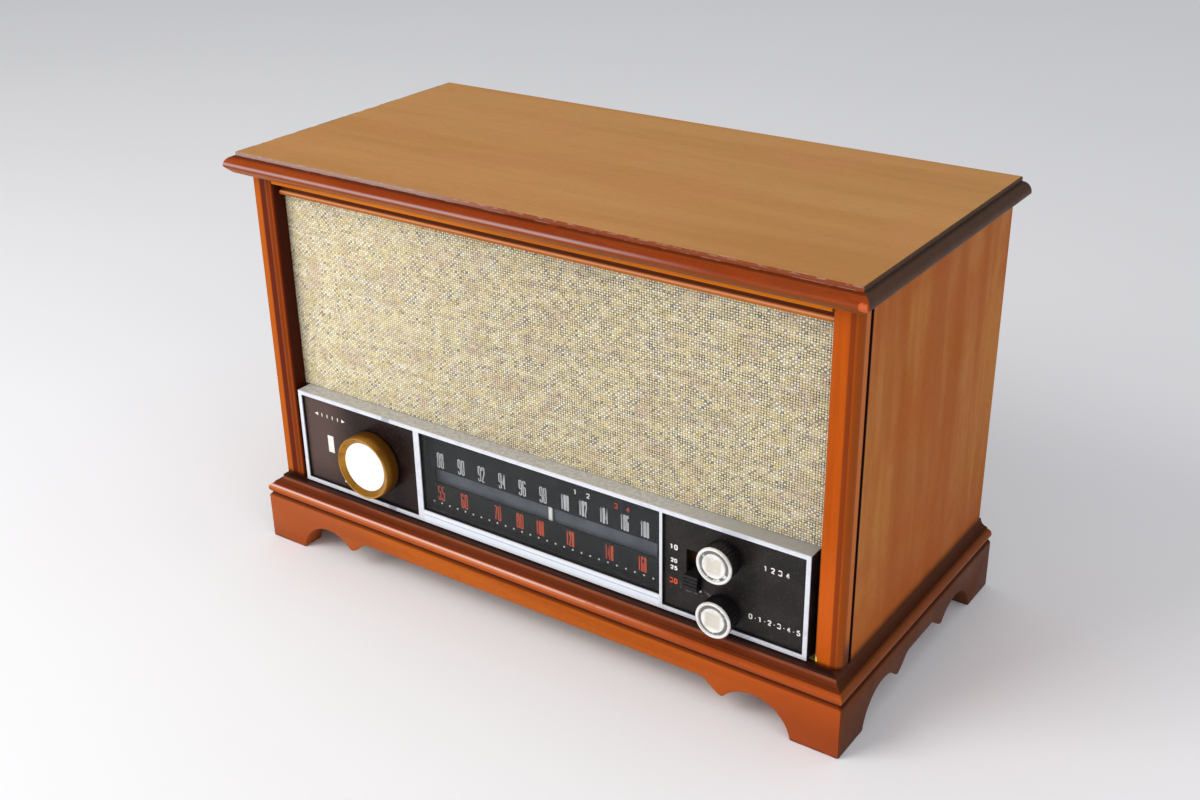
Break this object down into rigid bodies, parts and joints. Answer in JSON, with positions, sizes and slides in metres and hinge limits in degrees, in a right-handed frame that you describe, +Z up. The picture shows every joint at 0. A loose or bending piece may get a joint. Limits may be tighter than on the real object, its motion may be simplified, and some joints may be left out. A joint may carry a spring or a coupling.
{
  "type": "table radio",
  "caption": "Wooden table radio with a moulded top, bracket-foot base, woven grille, lit dial behind glass, tuning knob, two small knobs and a band lever.",
  "frame": {"origin": "middle of the footprint on the floor", "axes": "+Z up, the dial and grille face -Y, +X is the right-hand side seen from the front"},
  "size_m": [0.3938, 0.1914, 0.2462],
  "materials": {
    "top_wood": "satin gloss",
    "moulding_wood": "satin gloss",
    "side_wood": "satin gloss",
    "stile_wood": "satin gloss",
    "apron_wood": "satin gloss",
    "plain_wood": "bare",
    "fibreboard": "bare",
    "grille_cloth": "woven",
    "bead_wood": "satin gloss",
    "dark_plastic": "satin",
    "gloss_panel": "gloss",
    "black_panel": "gloss",
    "silver_rim": "satin",
    "window_glass": "clear",
    "scale_black": "satin",
    "reflector_grey": "satin",
    "white_plastic": "satin",
    "cream_plastic": "satin",
    "bright_steel": "bright",
    "lamp_glass": "clear",
    "knob_brass": "polished",
    "knob_disc": "polished",
    "knob_body": "gloss",
    "knob_cap": "spun",
    "control_metal": "plated",
    "switch_board": "bare",
    "plate_metal": "bare",
    "cord_fibre": "braided",
    "chassis_metal": "plated",
    "tube_glass": "clear",
    "can_metal": "satin",
    "lamination": "satin",
    "speaker_metal": "satin",
    "speaker_paper": "bare",
    "ferrite": "bare",
    "inlet_plastic": "satin",
    "screw_brass": "plated",
    "print_white": "satin",
    "print_grey": "satin",
    "print_orange": "satin"
  },
  "bodies": {
    "cabinet": {"top_panel": "top_wood", "left_side": "side_wood", "right_side": "side_wood", "left_stile": "stile_wood", "right_stile": "stile_wood", "top_rail": "stile_wood", "grille_bead": "bead_wood", "base_moulding_front": "moulding_wood", "base_moulding_left": "moulding_wood", "base_moulding_right": "moulding_wood", "front_apron": "apron_wood", "left_apron": "apron_wood", "right_apron": "apron_wood", "rear_apron": "plain_wood", "glue_blocks": "plain_wood", "cabinet_floor": "plain_wood", "grille_baffle": "fibreboard", "grille_cloth": "grille_cloth", "dial_escutcheon": "dark_plastic", "silver_trim": "silver_rim", "tuning_panel": "gloss_panel", "control_panel": "black_panel", "dial_window": "window_glass", "dial_scale": "scale_black", "dial_reflector": "reflector_grey", "pointer_rail": "bright_steel", "lamp_holder": "bright_steel", "dial_lamp": "lamp_glass", "tone_control": "control_metal", "volume_control": "control_metal", "band_switch": "switch_board", "capacitor_frame": "chassis_metal", "stator_plates": "plate_metal", "dial_cord": "cord_fibre", "chassis": "chassis_metal", "miniature_tubes": "tube_glass", "if_transformers": "can_metal", "output_transformer": "lamination", "speaker_basket": "speaker_metal", "speaker_cone": "speaker_paper", "ferrite_antenna": "ferrite", "rear_cover": "fibreboard", "ac_inlet": "inlet_plastic", "cover_screws": "screw_brass"},
    "tuning_control": {"tuning_knob": "knob_brass", "tuning_knob_disc": "knob_disc", "tuning_shaft": "bright_steel"},
    "tuner_rotor": {"drive_drum": "cream_plastic", "rotor_plates": "plate_metal", "cord_spring": "bright_steel"},
    "pointer_carriage": {"pointer": "white_plastic"},
    "left_wheel": {"left_idler": "cream_plastic"},
    "right_wheel": {"right_idler": "cream_plastic"},
    "tone": {"tone_knob": "knob_body", "tone_knob_cap": "knob_cap", "tone_shaft": "bright_steel"},
    "volume": {"volume_knob": "knob_body", "volume_knob_cap": "knob_cap", "volume_shaft": "bright_steel"},
    "band_slider": {"band_lever": "knob_body"}
  },
  "joints": [
    {"name": "tuning", "type": "hinge", "parent": "cabinet", "child": "tuning_control", "pos_m": [-0.1136, -0.083, 0.0705], "axis": [0, 1, 0], "range_deg": [-1188, 984]},
    {"name": "tuner", "type": "hinge", "parent": "cabinet", "child": "tuner_rotor", "pos_m": [-0.04, -0.063, 0.125], "axis": [0, -1, 0], "range_deg": [-98.4, 81.5]},
    {"name": "pointer_slide", "type": "slide", "parent": "cabinet", "child": "pointer_carriage", "axis": [1, 0, 0], "range_m": [-0.0769, 0.0637]},
    {"name": "left_wheel_turn", "type": "hinge", "parent": "cabinet", "child": "left_wheel", "pos_m": [-0.098, -0.0625, 0.06], "axis": [0, -1, 0], "range_deg": [-847, 702]},
    {"name": "right_wheel_turn", "type": "hinge", "parent": "cabinet", "child": "right_wheel", "pos_m": [0.098, -0.0625, 0.06], "axis": [0, -1, 0], "range_deg": [-847, 702]},
    {"name": "tone_turn", "type": "hinge", "parent": "cabinet", "child": "tone", "pos_m": [0.1234, -0.083, 0.087], "axis": [0, 1, 0], "range_deg": [-150, 150]},
    {"name": "volume_turn", "type": "hinge", "parent": "cabinet", "child": "volume", "pos_m": [0.1234, -0.083, 0.0553], "axis": [0, 1, 0], "range_deg": [-40, 260]},
    {"name": "band_slide", "type": "slide", "parent": "cabinet", "child": "band_slider", "axis": [0, 0, 1], "range_m": [0, 0.0129]}
  ],
  "couplings": [
    {"joint": "tuner", "follows": "tuning", "ratio": 0.082774},
    {"joint": "pointer_slide", "follows": "tuning", "m_per_rad": 0.0037},
    {"joint": "left_wheel_turn", "follows": "tuning", "ratio": 0.71154},
    {"joint": "right_wheel_turn", "follows": "tuning", "ratio": 0.71154}
  ]
}
